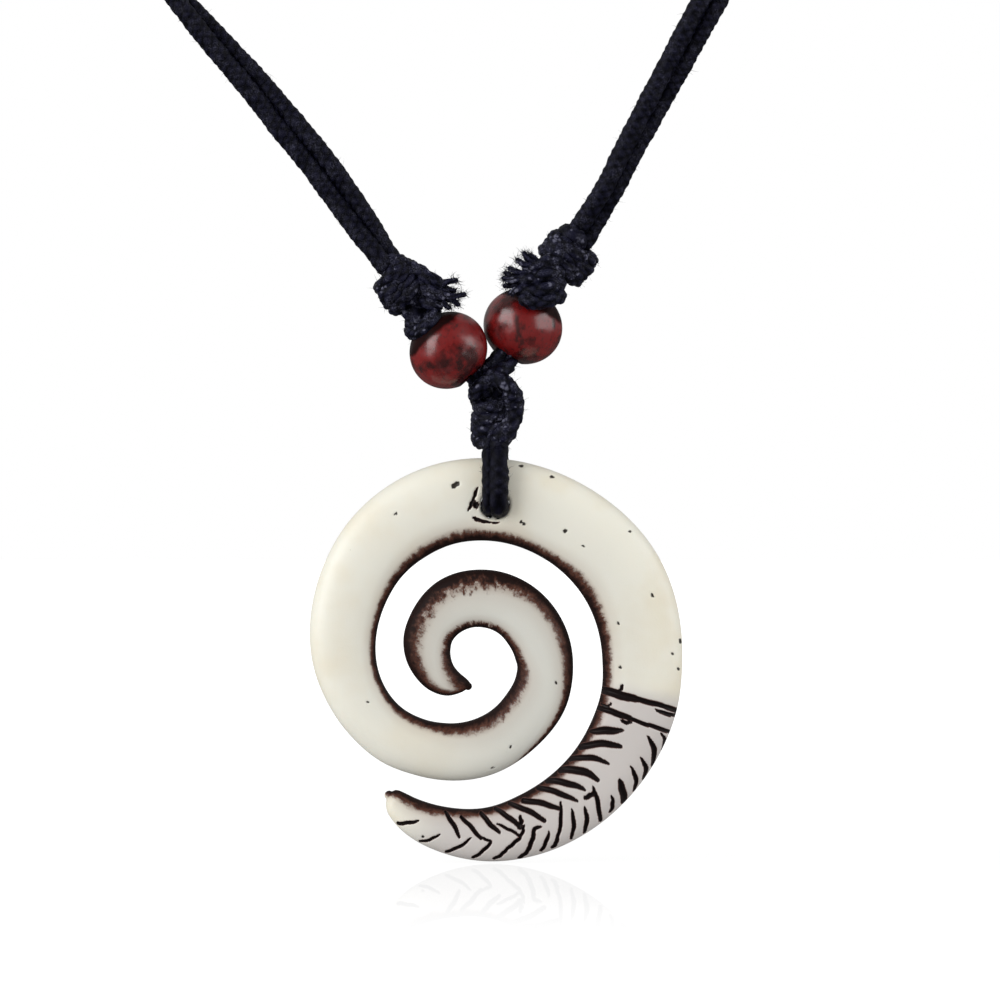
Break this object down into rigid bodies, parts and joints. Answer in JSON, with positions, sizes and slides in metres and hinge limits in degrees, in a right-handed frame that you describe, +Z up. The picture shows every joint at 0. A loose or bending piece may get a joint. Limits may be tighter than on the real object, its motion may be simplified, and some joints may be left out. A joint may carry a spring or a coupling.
{
  "type": "carved spiral pendant cord necklace",
  "caption": "Flat bone-look spiral pendant with a carved fern tail, hung on a doubled black cord with wooden beads, wrapped sliding knots and frayed ends.",
  "frame": {"origin": "inner side of the two cords at the back of the neck, midway between the cords", "axes": "+Z up, -Y the way the pendant faces, +X to the right seen from the front"},
  "size_m": [0.1225, 0.1208, 0.1537],
  "materials": {
    "bone_resin": "cast bone-look resin, satin, with dark brown patina in the carving and along the inner edges",
    "waxed_cord": "black braided waxed cord with a navy tint",
    "wood_bead": "dark red-brown wood, polished and lacquered"
  },
  "bodies": {
    "necklace": {"bail_loop": "waxed_cord", "pendant_knot": "waxed_cord", "left_lead": "waxed_cord", "right_lead": "waxed_cord", "left_bead": "wood_bead", "right_bead": "wood_bead", "left_stopper": "waxed_cord", "right_stopper": "waxed_cord", "left_sliding_knot": "waxed_cord", "right_sliding_knot": "waxed_cord", "inner_neck_cord": "waxed_cord", "outer_neck_cord": "waxed_cord"},
    "pendant": {"spiral": "bone_resin"}
  },
  "joints": [
    {"name": "pendant_swing", "type": "hinge", "parent": "necklace", "child": "pendant", "pos_m": [0, -0.11413, -0.11616], "axis": [0, 1, 0], "range_deg": [-25, 25]}
  ]
}
